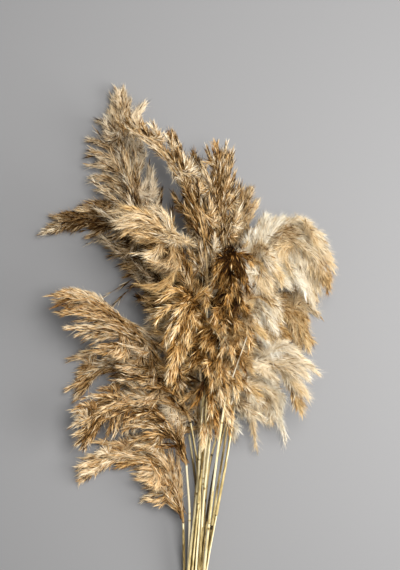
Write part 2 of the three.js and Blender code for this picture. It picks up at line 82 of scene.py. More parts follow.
# Each plume. paler is how much paler it is than its kind, at even steps from its foot to its tip. warmth is
# how warm in colour its fingers are at foot and tip, from 0 to 1, and how much they vary. extras is how
# many extra fingers it has. The rest is what its solid was made with, apart from front_centre's pull and
# angles: the control points of its core, the reach of its longest branch, the way its branches stream,
# how strongly, and the angles from core to branches at foot and tip, in radians.
PLUMES = {
    "crown": dict(
        kind="tan", paler=(-0.5, -0.38, 0.26, 0.22), warmth=(0.35, 0.3, 0.2), extras=78,
        core=[(-8, 288, 48), (-38, 372, 44), (-108, 440, 26), (-94, 570, 14)],
        reach=86, stream=(-0.3, 0.95), pull=0.35, angles=(0.95, 0.5)),
    "arch": dict(
        kind="umber", paler=(0.1, 0.32),
        core=[(8, 324, 100), (14, 424, 112), (-20, 504, 106), (-92, 530, 80)],
        reach=56, stream=(-0.45, 0.89), pull=0.5, angles=(0.45, 0.3)),
    "spire_left": dict(
        kind="umber", paler=(-0.24, -0.06),
        core=[(8, 312, 70), (4, 396, 74), (-8, 450, 72), (-32, 512, 62)],
        reach=60, stream=(-0.35, 0.93), pull=0.5, angles=(0.6, 0.3)),
    "spire_thin": dict(
        kind="umber", paler=(-0.3, -0.06),
        core=[(17, 300, 52), (16, 384, 46), (6, 436, 42), (-3, 490, 40)],
        reach=58, stream=(0, 1), pull=0.5, angles=(0.6, 0.3)),
    "spire_centre": dict(
        kind="umber", paler=(-0.2, 0.04),
        core=[(20, 288, 80), (26, 360, 90), (27, 432, 92), (20, 492, 82)],
        reach=68, stream=(0.05, 1), pull=0.4, angles=(0.65, 0.4)),
    "spire_right": dict(
        kind="blond", paler=(0.02, 0.08),
        core=[(26, 276, 30), (39, 348, 18), (50, 404, 12), (57, 448, 12)],
        reach=64, stream=(0.15, 1), pull=0.45, angles=(0.65, 0.4)),
    "left_upper": dict(
        kind="tan", paler=(-0.5, -0.26, -0.12), warmth=(0.8, 0.3, 0.2), extras=59,
        core=[(-6, 270, 30), (-36, 398, 22), (-84, 448, 12), (-178, 416, 12)],
        reach=80, stream=(-0.97, -0.24), angles=(0.6, 0.3)),
    "left_high": dict(
        kind="gold", paler=(0.2, 0.3), warmth=(0.3, 0.7, 0.25), extras=36,
        core=[(-12, 174, 60), (-42, 264, 74), (-96, 312, 80), (-150, 328, 68)],
        reach=94, stream=(-0.97, -0.22), pull=0.7),
    "left_middle": dict(
        kind="gold", paler=(0.08, 0.14), extras=41,
        core=[(-14, 156, 24), (-42, 240, 14), (-104, 276, 12), (-146, 214, 12)],
        reach=74, stream=(-0.9, -0.42)),
    "left_low": dict(
        kind="gold", paler=(0.08, 0.1),
        core=[(-17, 120, 46), (-36, 208, 56), (-110, 224, 62), (-140, 152, 52)],
        reach=76, stream=(-0.8, -0.6)),
    "left_lowest": dict(
        kind="gold", paler=(0.38, 0.48), warmth=(0.4, 0.3, 0.25), extras=57,
        core=[(-21, 44, 26), (-26, 122, 18), (-76, 156, 14), (-138, 106, 12)],
        reach=66, stream=(-0.92, -0.39), angles=(0.75, 0.4)),
    "right_dome": dict(
        kind="cream", paler=(0.06, 0.04, -0.16), warmth=(0.05, 1, 0.12), extras=93,
        core=[(46, 234, 62), (56, 424, 78), (118, 460, 86), (152, 358, 66)],
        reach=86, stream=(0.25, -0.95), pull=0.75),
    "right_middle": dict(
        kind="cream", paler=(-0.16, -0.04), warmth=(1, 0.9, 0.3), extras=46,
        core=[(41, 210, 28), (58, 330, 16), (108, 362, 12), (124, 284, 14)],
        reach=82, stream=(0.36, -0.93), pull=0.7),
    "right_low": dict(
        kind="cream", paler=(0.12, 0), warmth=(0.4, 0.3, 0.4),
        core=[(34, 186, 72), (54, 256, 94), (98, 288, 106), (114, 208, 84)],
        reach=72, stream=(0.42, -0.91), pull=0.7),
    "right_lowest": dict(
        kind="cream", paler=(0.06, 0.1), warmth=(0.3, 0.2, 0.3),
        core=[(26, 174, 38), (44, 218, 38), (76, 236, 36), (92, 190, 24)],
        reach=72, stream=(0, -1), pull=0.85),
    "front_hanging": dict(
        kind="amber", paler=(0, 0.14),
        core=[(8, 210, 90), (12, 356, 142), (-28, 360, 174), (-24, 230, 156)],
        reach=68, stream=(-0.35, -0.93), angles=(0.8, 0.4)),
    "front_left": dict(
        kind="blond", paler=(-0.1, 0.08), warmth=(0.9, 0.1, 0.25), extras=33,
        core=[(2, 204, 76), (-4, 336, 112), (-22, 430, 142), (-84, 418, 128)],
        reach=74, stream=(-0.9, -0.42), angles=(0.8, 0.4)),
    "front_centre": dict(
        kind="amber", paler=(0.5, -0.3), extras=44,
        core=[(12, 180, 66), (22, 264, 108), (34, 330, 142), (38, 386, 150)],
        reach=70, stream=(0, -1), pull=0.7, angles=(0.6, 0.35)),
    "front_right": dict(
        kind="cream", paler=(-0.18, -0.02, 0.08), warmth=(1, 0.1, 0.3),
        core=[(32, 216, 96), (48, 320, 120), (58, 420, 132), (74, 346, 122)],
        reach=62, stream=(0, -1), angles=(0.8, 0.4)),
    "centre_low": dict(
        kind="umber", paler=(0.45, 0.45), extras=41,
        core=[(0, 150, 44), (-6, 240, 50), (-26, 320, 52), (-54, 276, 50)],
        reach=64, stream=(-0.45, -0.9), angles=(0.8, 0.4)),
}

# Plumes whose fingers are turned: up to which share of the core, the way they turn, and how far they
# give way to it over their first and last halves.
TURNED = {
    "front_centre": (1, (0, -1, -0.15), (0.4, 0.7)),
    "right_dome": (1, (0.25, -0.95, -0.15), (0.3, 0.4)),
    "left_lowest": (0.16, (-0.25, 1, 0), (0.6, 0.75)),
}

# Fingers with a place of their own: the share of the core where each grows, its bend and its tip, and
# for some how much paler it is.
LONE_FINGERS = {
    "crown": [
        (0.99, (-102, 576, 14), (-104, 588, 12)), (0.97, (-98, 570, 13), (-101, 585, 14)),
        (0.9, (-114, 546, 12), (-130, 550, 10), -0.2), (0.9, (-82, 558, 14), (-68, 572, 16), 0.25),
        (0.86, (-84, 552, 14), (-72, 566, 14), 0.2), (0.68, (-115, 480, 26), (-146, 474, 12), -0.28),
        (0.72, (-112, 492, 28), (-147, 494, 14), -0.28),
        (0.76, (-116, 505, 26), (-145, 512, 14), -0.28),
        (0.8, (-118, 520, 24), (-143, 526, 12), -0.28),
        (0.62, (-108, 465, 28), (-136, 460, 14), -0.28),
        (0.55, (-66, 445, 34), (-56, 478, 26), 0.2), (0.62, (-70, 460, 32), (-58, 494, 22), 0.2),
        (0.7, (-78, 485, 28), (-64, 514, 20), 0.15), (0.48, (-58, 425, 36), (-51, 456, 30), 0.2)],
    "right_dome": [
        (0.3, (84, 366, 66), (100, 338, 60)), (0.35, (88, 384, 72), (104, 356, 66)),
        (0.4, (94, 388, 72), (112, 352, 66)), (0.42, (96, 378, 68), (120, 340, 60)),
        (0.45, (100, 396, 74), (118, 360, 68)), (0.5, (106, 398, 76), (124, 354, 66)),
        (0.55, (112, 398, 78), (128, 366, 70)), (0.6, (118, 398, 80), (134, 372, 72)),
        (0.65, (124, 394, 80), (138, 356, 70)), (0.7, (132, 392, 80), (142, 350, 70)),
        (0.6, (118, 390, 78), (130, 346, 66)), (0.68, (128, 398, 80), (132, 352, 70)),
        (0.72, (134, 396, 78), (136, 350, 68)), (0.75, (138, 392, 78), (144, 352, 68)),
        (0.8, (142, 386, 76), (148, 346, 66)), (0.7, (132, 412, 82), (156, 396, 78)),
        (0.75, (138, 404, 80), (162, 382, 72)), (0.8, (144, 396, 78), (166, 366, 66)),
        (0.85, (150, 388, 74), (168, 362, 62)), (0.9, (154, 380, 70), (167, 352, 58)),
        (0.62, (128, 356, 62), (142, 312, 44), 0.05), (0.68, (134, 354, 60), (150, 302, 40), 0.05),
        (0.74, (136, 364, 62), (150, 322, 44), 0.05), (0.58, (120, 358, 62), (132, 326, 48), 0.05),
        (0.3, (66, 386, 72), (70, 412, 76)), (0.32, (60, 386, 70), (60, 404, 74)),
        (0.34, (72, 398, 74), (82, 418, 78)), (0.36, (82, 400, 76), (96, 414, 80)),
        (0.38, (78, 406, 76), (90, 422, 80)), (0.42, (90, 410, 78), (102, 424, 82))],
    "spire_centre": [
        (0.75, (30, 470, 84), (36, 500, 84)), (0.8, (34, 478, 84), (40, 506, 82)),
        (0.7, (36, 452, 86), (44, 484, 84)), (0.85, (28, 486, 84), (32, 514, 80)),
        (0.65, (40, 440, 88), (48, 468, 84))],
    "front_centre": [
        (0.97, (30, 366, 158), (22, 322, 150)), (0.94, (40, 362, 158), (44, 318, 150)),
        (0.9, (34, 352, 158), (32, 306, 150)), (0.99, (48, 372, 154), (58, 334, 142)),
        (0.95, (24, 370, 156), (10, 332, 150)), (0.98, (36, 374, 158), (36, 330, 154))],
    "left_high": [
        (0.5, (-104, 284, 68), (-140, 264, 52)), (0.45, (-100, 272, 66), (-134, 256, 50)),
        (0.55, (-112, 290, 68), (-150, 270, 54)), (0.4, (-92, 262, 64), (-124, 246, 48)),
        (0.6, (-122, 296, 70), (-156, 276, 56))],
    "left_low": [
        (0.6, (-90, 178, 52), (-98, 156, 44)), (0.65, (-98, 176, 52), (-108, 152, 44)),
        (0.55, (-82, 182, 52), (-92, 160, 46)), (0.7, (-106, 174, 50), (-118, 150, 42)),
        (0.5, (-76, 180, 52), (-82, 160, 46)), (0.02, (-26, 150, 50), (-46, 172, 52)),
        (0.05, (-20, 150, 48), (-24, 176, 50)), (0.08, (-30, 160, 50), (-52, 176, 50)),
        (0, (-24, 140, 46), (-38, 160, 46)), (0.1, (-26, 168, 52), (-30, 196, 54))],
    "left_upper": [
        (0.12, (-40, 318, 30), (-64, 300, 26)), (0.15, (-44, 330, 28), (-68, 310, 24)),
        (0.2, (-50, 342, 28), (-80, 322, 24)), (0.22, (-56, 346, 36), (-84, 340, 34), 0.1),
        (0.25, (-58, 356, 28), (-90, 336, 24)), (0.3, (-66, 368, 26), (-98, 352, 22)),
        (0.32, (-70, 366, 34), (-98, 364, 30), 0.1), (0.35, (-74, 376, 26), (-106, 364, 22)),
        (0.4, (-80, 388, 24), (-112, 376, 20)), (0.6, (-102, 434, 16), (-124, 446, 12)),
        (0.65, (-112, 436, 16), (-136, 447, 12)), (0.7, (-124, 436, 14), (-148, 444, 12)),
        (0.75, (-134, 436, 14), (-160, 438, 12)), (0.6, (-104, 404, 16), (-128, 398, 12)),
        (0.7, (-122, 408, 14), (-148, 402, 12))],
    "left_lowest": [
        (0.15, (-26, 100, 26), (-28, 152, 30)), (0.22, (-34, 112, 26), (-40, 148, 30)),
        (0.1, (-24, 84, 28), (-27, 128, 32)), (0.3, (-44, 124, 22), (-56, 146, 26))],
    "right_lowest": [
        (0.62, (63, 182, 30), (71, 128, 16)), (1, (100, 176, 20), (110, 136, 12))],
}

# Thin, dark side branches that stand out from a plume: where each leaves it, its bend and its tip.
BRANCHLETS = {
    "left_upper": [
        ((-104, 412, 16), (-125, 398, 18), (-144, 391, 10)),
        ((-108, 404, 16), (-118, 396, 20), (-117, 408, 24)),
        ((-82, 350, 30), (-101, 338, 30), (-126, 323, 24)),
        ((-90, 344, 30), (-108, 326, 28), (-118, 316, 24))],
    "crown": [
        ((-108, 512, 20), (-118, 524, 22), (-130, 534, 20)),
        ((-112, 500, 20), (-130, 506, 20), (-142, 502, 14))],
    "left_lowest": [
        ((-42, 86, 20), (-52, 85, 20), (-64, 82, 14)),
        ((-40, 78, 20), (-48, 76, 18), (-55, 69, 10))],
}
BRANCHLET_DARK = 0.2  # how much darker they are than their plume's kind
BRANCHLET_STEP = 2.0  # length of branch for each bract

# Tufts of silk: where each grows, the way it points, how long it is and how many hairs it has.
TUFTS = {
    "arch": [((-36, 482, 100), (-0.1, -1, -0.2), 18, 60), ((-30, 470, 100), (-0.2, -1, -0.2), 16, 50)],
    "left_low": [((-32, 196, 60), (-1, -0.1, 0), 22, 260), ((-12, 190, 60), (-0.8, -0.3, 0), 20, 200)],
    "front_right": [((62, 352, 118), (-0.2, -1, 0.1), 26, 260), ((68, 372, 120), (-0.1, -1, 0), 26, 260)],
    "right_low": [((84, 286, 100), (0.5, -0.8, 0), 26, 260)],
}
TUFT_PLACES = 50  # how many of the nearest places on the branches a tuft grows from
TUFT_STRAY = 0.35  # how far its hairs stray from the way it points
TUFT_LENGTHS = (0.3, 1)  # of its hairs, over its own
TUFT_WIDTHS = (0.25, 0.5)
TUFT_TONE = 0.92

# A bare length of stem that lies over the plumes' fronds: the control points of a cubic Bezier.
BARE_STEMS = {"front_right": [(33, 214, 97), (40, 238, 120), (49, 262, 136), (57, 288, 136)]}
BARE_STEM = dict(radii=(1.0, 0.5), rings=16, sides=8, tone=0.6)


# Lines and directions

def unit(vectors):
    """The vectors' directions, each one long."""
    return vectors / np.maximum(np.linalg.norm(vectors, axis=-1, keepdims=True), TINY)


def bezier(points, t):
    """A cubic Bezier's points at the shares t."""
    p = np.asarray(points, float)
    t = np.asarray(t, float)[..., None]
    return ((1 - t) ** 3 * p[0] + 3 * (1 - t) ** 2 * t * p[1]
            + 3 * (1 - t) * t ** 2 * p[2] + t ** 3 * p[3])


def curve_at(curves, t):
    """Points and directions of quadratic Beziers. t is a share for each, or one for all."""
    t = np.full(len(curves), t)[:, None]
    points = (1 - t) ** 2 * curves[:, 0] + 2 * t * (1 - t) * curves[:, 1] + t ** 2 * curves[:, 2]
    heading = (1 - t) * (curves[:, 1] - curves[:, 0]) + t * (curves[:, 2] - curves[:, 1])
    return points, unit(heading)


NEARLY_UPRIGHT = 1e-3  # a direction whose level part is shorter counts as upright


def across(tangents):
    """Two unit vectors square to each tangent and to each other: one level, one upright."""
    level = np.cross(tangents, (0.0, 0.0, 1.0))
    upright = np.linalg.norm(level, axis=-1) < NEARLY_UPRIGHT
    level[upright] = (1.0, 0.0, 0.0)
    level = unit(level)
    return level, unit(np.cross(level, tangents))


def spokes(side, normal, around):
    """Directions from side towards normal, turned by the angles around."""
    return side * np.cos(around)[:, None] + normal * np.sin(around)[:, None]


def leaning(tangent, flatness, angle, around):
    """Directions at an angle to tangents, turned around them, and the way that each leans. flatness is
    how far they spread up and down, over how far to the sides."""
    level, upright = across(tangent)
    radial = spokes(level, upright * flatness, around)
    return unit(tangent * np.cos(angle)[:, None] + radial * np.sin(angle)[:, None]), radial


# Meshes

def add_object(name, data):
    """An object in the scene, made of data."""
    made = bpy.data.objects.new(name, data)
    bpy.context.scene.collection.objects.link(made)
    return made


class Soup:
    """Bits of mesh, gathered into one, with a tone at each corner and a warmth for each bit."""

    def __init__(self):
        self.points, self.faces, self.tones, self.warmths, self.count = [], [], [], [], 0

    def add(self, points, faces, tones, warmth=0.0):
        """points is bits x corners x 3, faces is the same for every bit, tones is bits x corners and
        warmth is one number for each bit, or one for all. A bit that is too low is lifted."""
        bits, corners = points.shape[:2]
        points = points.copy()
        points[..., 2] += np.maximum(0, FLOOR_GAP - points[..., 2].min(axis=1))[:, None]
        starts = self.count + corners * np.arange(bits)
        self.points.append(points.reshape(-1, 3))
        self.faces.append((starts[:, None, None] + np.asarray(faces)[None]).reshape(-1, 3))
        self.tones.append(np.broadcast_to(tones, (bits, corners)).reshape(-1))
        self.warmths.append(np.repeat(np.broadcast_to(warmth, bits), corners))
        self.count += bits * corners

    def made(self, name, material):
        """An object of all the bits, with smooth faces."""
        points = np.concatenate(self.points) * MM
        faces = np.concatenate(self.faces)
        mesh = bpy.data.meshes.new(name)
        mesh.vertices.add(len(points))
        mesh.vertices.foreach_set("co", points.astype(np.float32).ravel())
        mesh.loops.add(faces.size)
        mesh.loops.foreach_set("vertex_index", faces.astype(np.int32).ravel())
        mesh.polygons.add(len(faces))
        mesh.polygons.foreach_set("loop_start", np.arange(0, faces.size, 3, dtype=np.int32))
        mesh.polygons.foreach_set("use_smooth", np.full(len(faces), True))
        for attribute, values in (("tone", self.tones), ("warmth", self.warmths)):
            mesh.attributes.new(attribute, "FLOAT", "POINT")
            values = np.concatenate(values).astype(np.float32)
            mesh.attributes[attribute].data.foreach_set("value", values)
        mesh.update(calc_edges=True)
        mesh.materials.append(material)
        return add_object(name, mesh)


BLADE_FACES = [(0, 1, 2), (0, 2, 3)]
BLADE_MIDDLE = 0.4  # the share where a blade is widest
MIDDLE_BEND = 0.3  # how much of its bend it has there
HAIR_FACES = [(0, 1, 2)]


def add_blades(soup, at, along, length, width, around, bend, tones, warmth):
    """Bracts: flat, slim lozenges, turned around their own lines. bend moves each tip, and tones is
    for root, middle and tip."""
    flat = spokes(*across(along), around)
    middle = at + along * (BLADE_MIDDLE * length)[:, None] + MIDDLE_BEND * bend
    half = flat * (0.5 * width)[:, None]
    tip = at + along * length[:, None] + bend
    root_tone, middle_tone, tip_tone = tones
    soup.add(np.stack([at, middle + half, tip, middle - half], axis=1), BLADE_FACES,
             np.stack([root_tone, middle_tone, tip_tone, middle_tone], axis=1), warmth)


def add_hairs(soup, at, along, length, width, around, tones, warmth=0.0):
    """Silk: each hair is one long flat triangle, turned around its own line."""
    half = spokes(*across(along), around) * (0.5 * width)[:, None]
    soup.add(np.stack([at - half, at + half, at + along * length[:, None]], axis=1), HAIR_FACES,
             tones[:, None], warmth)


def sleeve_faces(rings, sides):
    """Two triangles for each side of a tube, from each of its rings to the next."""
    faces = []
    for a in range(0, (rings - 1) * sides, sides):
        for i in range(sides):
            j, b = (i + 1) % sides, a + sides
            faces += [(a + i, a + j, b + j), (a + i, b + j, b + i)]
    return faces


def tube_faces(rings, sides):
    """A sleeve's faces, and those that close it with the two points that follow its rings' corners:
    the first at its end and the second at its start."""
    faces = sleeve_faces(rings, sides)
    last, end = (rings - 1) * sides, rings * sides
    for i in range(sides):
        j = (i + 1) % sides
        faces += [(last + i, last + j, end), (j, i, end + 1)]
    return faces


def add_tubes(soup, paths, radii, tones, warmth=0.0, sides=3):
    """Tapering tubes along paths (tubes x sections x 3) that end in a point."""
    tubes, sections = paths.shape[:2]
    side, normal = across(unit(np.gradient(paths, axis=1)))
    turns = 2 * math.pi * np.arange(sides) / sides
    rings = paths[:, :, None] + spokes(side[:, :, None], normal[:, :, None], turns) * radii[..., None, None]
    corners = rings[:, :-1].reshape(tubes, -1, 3)
    points = np.concatenate([corners, paths[:, -1:], paths[:, :1]], axis=1)
    tones = np.broadcast_to(tones[:, None], points.shape[:2])
    soup.add(points, tube_faces(sections - 1, sides), tones, warmth)


def add_line(soup, points, radii, rings, sides, tone):
    """One tapering tube along a cubic Bezier."""
    path = bezier(points, np.linspace(0, 1, rings))
    add_tubes(soup, path[None], np.linspace(*radii, rings)[None], np.array([tone]), sides=sides)


# The solids' own lines

RING_SHARE = 0.67  # where the last ring of a solid's strand lies along it
CORE_CLEAR = 12  # a solid's corner nearer to the core than this isn't a strand's tip
CORE_PLACES = 200  # places on a core that may be a strand's root
SECTION_CORNERS = 6  # a section of a culm's solid has at least this many
NODE_WIDER = 1.08  # a node's section over the wider one beside it, at least


def welded(node):
    """A node's corners in millimetres, with those that meet made one, and each one's neighbours."""
    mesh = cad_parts[node].data
    rounded = np.round(np.array([vertex.co for vertex in mesh.vertices], float) / MM, 3)
    corners, index = np.unique(rounded, axis=0, return_inverse=True)
    index = index.reshape(-1)
    near = [set() for _ in corners]
    for polygon in mesh.polygons:
        loop = [int(index[v]) for v in polygon.vertices]
        for a, b in zip(loop, loop[1:] + loop[:1]):
            if a != b:
                near[a].add(b)
                near[b].add(a)
    return corners, near


def strand_lines(name, core):
    """The strands of a plume's solid, each as the three control points of a quadratic Bezier.

    A strand ends in a tip with three neighbours, the last ring of its solid. Its root lies on the
    core where both halves of the strand come out equally long, as they were made."""
    corners, near = welded("plume_" + name)
    roots = bezier(core, np.linspace(0, 1, CORE_PLACES))
    a, b, c = (1 - RING_SHARE) ** 2, 2 * RING_SHARE * (1 - RING_SHARE), RING_SHARE ** 2
    found = []
    for index, ring in enumerate(near):
        if len(ring) != 3 or any(len(near[corner] & ring) != 2 for corner in ring):
            continue
        tip = corners[index]
        if np.linalg.norm(roots - tip, axis=1).min() < CORE_CLEAR:
            continue
        bends = (corners[list(ring)].mean(axis=0) - a * roots - c * tip) / b
        halves = np.linalg.norm(bends - roots, axis=1), np.linalg.norm(tip - bends, axis=1)
        best = np.abs(halves[0] - halves[1]).argmin()
        found.append([roots[best], bends[best], tip])
    return sorted(found, key=lambda strand: tuple(np.round(strand[2], 2)))


def culm_sections(name):
    """The middles of a culm solid's sections, which all lie across Y, and the Y of its node."""
    corners, _ = welded("culm_" + name)
    sections = {}
    for corner in corners:
        sections.setdefault(round(corner[1], 1), []).append(corner)
    kept = [y for y in sorted(sections) if len(sections[y]) >= SECTION_CORNERS]
    middles = np.array([np.mean(sections[y], axis=0) for y in kept])
    widths = [np.ptp(np.array(sections[y])[:, 0]) for y in kept]
    node = None
    for i in range(1, len(kept) - 1):
        if widths[i] > NODE_WIDER * max(widths[i - 1], widths[i + 1]):
            node = kept[i]
    return middles, node


# Culms

CULM_SEEDS = 100  # which the culms' numbers are counted from
CULM_SIDES = 12
CULM_STEP = 9.0  # between two rings
LINE_STEP = 3.0  # between the points of a line whose corners are rounded off
LINE_ROUNDS = 60  # how many times those are evened out
WAIST_RADIUS = 1.7  # from the cut end to the waist
TOP_RADIUS = 1.35  # where the plume begins
WAIST_SHARE = 0.2  # the share of a culm that lies below the waist

NODE_SWELL = 0.5  # how far the solid's node stands out
JOINT_SWELL = 0.15  # how far the other joints do
FIRST_JOINT = (30, 110)  # from the cut end to the first of those, at least and at most
JOINT_STEP = 135  # between two of those
JOINT_CLEAR = 20  # between the last of those and the plume, at least
JOINT_RINGS = [-3.0, -1.6, -0.8, 0, 0.8, 1.6, 3.0]  # where rings lie about a joint
JOINT_WIDTH = 1.3
JOINT_DARK = 0.6

CULM_TONE = 0.42
CULM_TONES = {"right_low": 0.1, "right_lowest": 0.3, "left_lowest": 0.42}  # of those that stand apart
CULM_VARIES = 0.18  # how much the others' tones vary
SIDE_PALE = 0.4  # how much paler a culm is on one of its sides
SIDE_VARIES = 0.16
RING_VARIES = 0.05

# The hollow at the cut end: its bottom's middle and edge, then the cut's inner and outer edge.
HOLLOW_DEPTHS = (3.0, 3.0, 0, 0)
HOLLOW_MIDDLE = 0.01  # the first one's radius, and then those of the others over the culm's
HOLLOW_RADII = (0.5, 0.5, 0.97)
# Their tones: the hollow's bottom darkest, painted shade, paling up its wall to the cut.
HOLLOW_SHADED_TONES = (0, 0, 0.75, 0.7)

SHEATHED = 0.5  # the share of the joints that keep a sheath
SHEATH_LENGTHS = (35, 85)
SHEATH_CLEAR = 10  # between a sheath and the plume, at least
SHEATH_RINGS = 7
SHEATH_GAP = 0.25  # between a sheath and its culm
SHEATH_OPENING = 6  # one over the share of a sheath along which that gap opens
SHEATH_LOW = 0.55  # the share of a sheath's length that its lip has on its lower side
LIP_RAGGED = 0.12  # how ragged the lip is, as a share of how oblique it is
SHEATH_TONES = (-0.22, 0.2)  # against its culm's


def rounded_line(points, along):
    """Points along a line through points, with its corners rounded off. along is in millimetres."""
    lengths = np.concatenate([[0], np.cumsum(np.linalg.norm(np.diff(points, axis=0), axis=1))])
    fine = np.arange(0, lengths[-1], LINE_STEP)
    line = np.stack([np.interp(fine, lengths, points[:, axis]) for axis in range(3)], axis=1)
    for _ in range(LINE_ROUNDS):
        line[1:-1] = 0.25 * line[:-2] + 0.5 * line[1:-1] + 0.25 * line[2:]
    return np.stack([np.interp(along, fine, line[:, axis]) for axis in range(3)], axis=1)


def ring_places(length, joints):
    """How far from the cut end each ring of a culm lies. They are closer together about a joint."""
    places = list(np.arange(0, length - CULM_STEP / 2, CULM_STEP)) + [length]
    for joint in joints:
        places += [joint + ring for ring in JOINT_RINGS if 0 < joint + ring < length]
    return np.unique(np.round(places, 2))


def add_stalk(soup, line, radii, tones, stripes):
    """A culm's own tube, with the hollow at its cut end. Each of its sides is paler or darker by its
    number in stripes."""
    side, normal = across(unit(np.gradient(line, axis=0)))
    side, normal = (np.concatenate([[ways[0]] * len(HOLLOW_DEPTHS), ways]) for ways in (side, normal))
    hollow = line[0] + unit(line[1] - line[0]) * np.array(HOLLOW_DEPTHS)[:, None]
    middles = np.concatenate([hollow, line])
    radii = np.concatenate([[HOLLOW_MIDDLE], radii[0] * np.array(HOLLOW_RADII), radii])
    # The hollow's bottom is dark: painted shade.
    tones = np.concatenate([HOLLOW_SHADED_TONES, tones])
    turns = 2 * math.pi * np.arange(CULM_SIDES) / CULM_SIDES
    rings = middles[:, None] + spokes(side[:, None], normal[:, None], turns) * radii[:, None, None]
    points = np.concatenate([rings.reshape(-1, 3), middles[-1:], middles[:1]])
    tones = np.concatenate([(tones[:, None] + stripes).ravel(), tones[-1:], tones[:1]])
    soup.add(points[None], tube_faces(len(middles), CULM_SIDES), tones[None])


def add_sheath(soup, points, radii, along, joint, reach, base, rng):
    """The dry remains of a leaf sheath: a thin sleeve from a joint up, with an oblique, ragged lip."""
    shares = np.linspace(0, 1, SHEATH_RINGS)
    side, normal = across(unit(np.gradient(rounded_line(points, joint + reach * shares), axis=0)))
    turns = 2 * math.pi * np.arange(CULM_SIDES) / CULM_SIDES
    lip = 0.5 + 0.5 * np.cos(turns - rng.uniform(0, 2 * math.pi))
    lip += rng.uniform(0, LIP_RAGGED, CULM_SIDES)
    rings = []
    for i, share in enumerate(shares):
        at = joint + reach * share * (SHEATH_LOW + (1 - SHEATH_LOW) * lip)
        radius = np.interp(at, along, radii) + SHEATH_GAP * min(1, SHEATH_OPENING * share)
        rings.append(rounded_line(points, at) + spokes(side[i], normal[i], turns) * radius[:, None])
    corners = np.concatenate(rings)
    tones = np.full((1, len(corners)), base + rng.uniform(*SHEATH_TONES))
    soup.add(corners[None], sleeve_faces(SHEATH_RINGS, CULM_SIDES), tones)


def grow_culm(name, number, material):
    """A round, jointed stalk with sheaths about some joints and a hollow at its cut end."""
    rng = np.random.default_rng([SEED, CULM_SEEDS + number])
    points, node_y = culm_lines[name]
    length = np.linalg.norm(np.diff(points, axis=0), axis=1).sum()
    joints = list(np.arange(rng.uniform(*FIRST_JOINT), length - JOINT_CLEAR, JOINT_STEP))
    swells = [JOINT_SWELL] * len(joints)
    if node_y is not None:
        joints.append((node_y - points[0, 1]) * length / np.ptp(points[:, 1]))
        swells.append(NODE_SWELL)
    along = ring_places(length, joints)
    share = np.clip((along / length - WAIST_SHARE) / (1 - WAIST_SHARE), 0, 1)
    radii = WAIST_RADIUS + (TOP_RADIUS - WAIST_RADIUS) * share
    base = CULM_TONES.get(name, CULM_TONE + CULM_VARIES * rng.normal())
    turns = 2 * math.pi * (np.arange(CULM_SIDES) / CULM_SIDES + rng.random())
    stripes = SIDE_PALE * np.cos(turns) + SIDE_VARIES * rng.normal(size=CULM_SIDES)
    tones = base + RING_VARIES * rng.normal(size=len(along))
    for joint, swell in zip(joints, swells):
        bump = np.exp(-((along - joint) / JOINT_WIDTH) ** 2)
        radii = radii + swell * bump
        tones = tones - JOINT_DARK * bump

    soup = Soup()
    add_stalk(soup, rounded_line(points, along), radii, tones, stripes)
    for joint in joints:
        reach = rng.uniform(*SHEATH_LENGTHS)
        if rng.random() < SHEATHED and joint + reach < length - SHEATH_CLEAR:
            add_sheath(soup, points, radii, along, joint, reach, base, rng)
    piece = soup.made(f"stalk_{name}", material)
    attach(piece, "root")
    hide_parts(f"culm_{name}")


# Plumes: their fingers

LENGTH_START = 0.24  # where the foot lies on the half wave that the branches' lengths follow
SHORTEST = 0.42  # the length of the branches at the tip over the longest
FLATNESS = 0.5  # how flat extra fingers spread
LOFT = 0.6  # the same for side branches, bracts and their silk

EXTRA_SPAN = (0.02, 0.97)  # where extra fingers begin on a core, and the share of it that they take
EXTRA_PAINTED_SHADE = 0.3  # painted shade: how much darker they are than the others, as they lie deeper in the plume
EXTRA_LENGTHS = (0.4, 0.9)  # their length over that of the solid's branches
DROOP = (0.1, 0.7)  # how far an extra finger gives way to the stream at its root
STREAM_SINK = -0.15  # how far the stream goes down
STREAM_VARIES = 0.2
NUDGE = 1e-3  # step along a core that gives its direction

CORE_FINGERS = 6  # that lie along a core and hide it
CORE_SPAN = 0.9  # the share of the core that their roots lie on
CORE_POINTS = ((0, 0), (0.12, 4), (0.25, 8))  # how far on, and how far off it, root, bend and tip lie

SHARE_STEPS = 99  # steps along a core in which a finger's place on it is told
FINGER_VARIES = 0.1  # how much the fingers' tones vary
WARMTH_RISE = 2.2  # a power: how late along the core the warmth of its tip sets in


def extra_fingers(plume, core, rng):
    """More fingers like the solid's strands, grown from the core by the rule that those follow."""
    count = plume["extras"]
    start, span = EXTRA_SPAN
    share = start + span * (np.arange(count) + rng.random(count)) / count
    root = bezier(core, share)
    tangent = unit(bezier(core, share + NUDGE) - bezier(core, share - NUDGE))
    foot, tip = plume["angles"]
    angle = foot + (tip - foot) * share
    first, _ = leaning(tangent, FLATNESS, angle, 2 * math.pi * rng.random(count))
    stray = STREAM_VARIES * rng.normal(size=(count, 3)) * (1, 1, FLATNESS)
    flow = unit(unit(np.array([*plume["stream"], STREAM_SINK])) + stray)
    first = unit(first + (flow - first) * rng.uniform(*DROOP, count)[:, None])
    last = unit(first + (flow - first) * plume["pull"])
    wave = np.sin(math.pi * (LENGTH_START + (1 - LENGTH_START) * share))
    length = plume["reach"] * (SHORTEST + (1 - SHORTEST) * wave) * rng.uniform(*EXTRA_LENGTHS, count)
    half = (length / 2)[:, None]
    bend = root + first * half
    return np.stack([root, bend, bend + last * half], axis=1)


def fingers_along(core, rng):
    """Fingers that lie along the core, each a little off it."""
    share = CORE_SPAN * (np.arange(CORE_FINGERS) + rng.random(CORE_FINGERS)) / CORE_FINGERS
    points = []
    for further, spread in CORE_POINTS:
        stray = spread * rng.normal(size=(CORE_FINGERS, 3)) * (1, 1, LOFT)
        points.append(bezier(core, np.minimum(1, share + further)) + stray)
    return np.stack(points, axis=1)


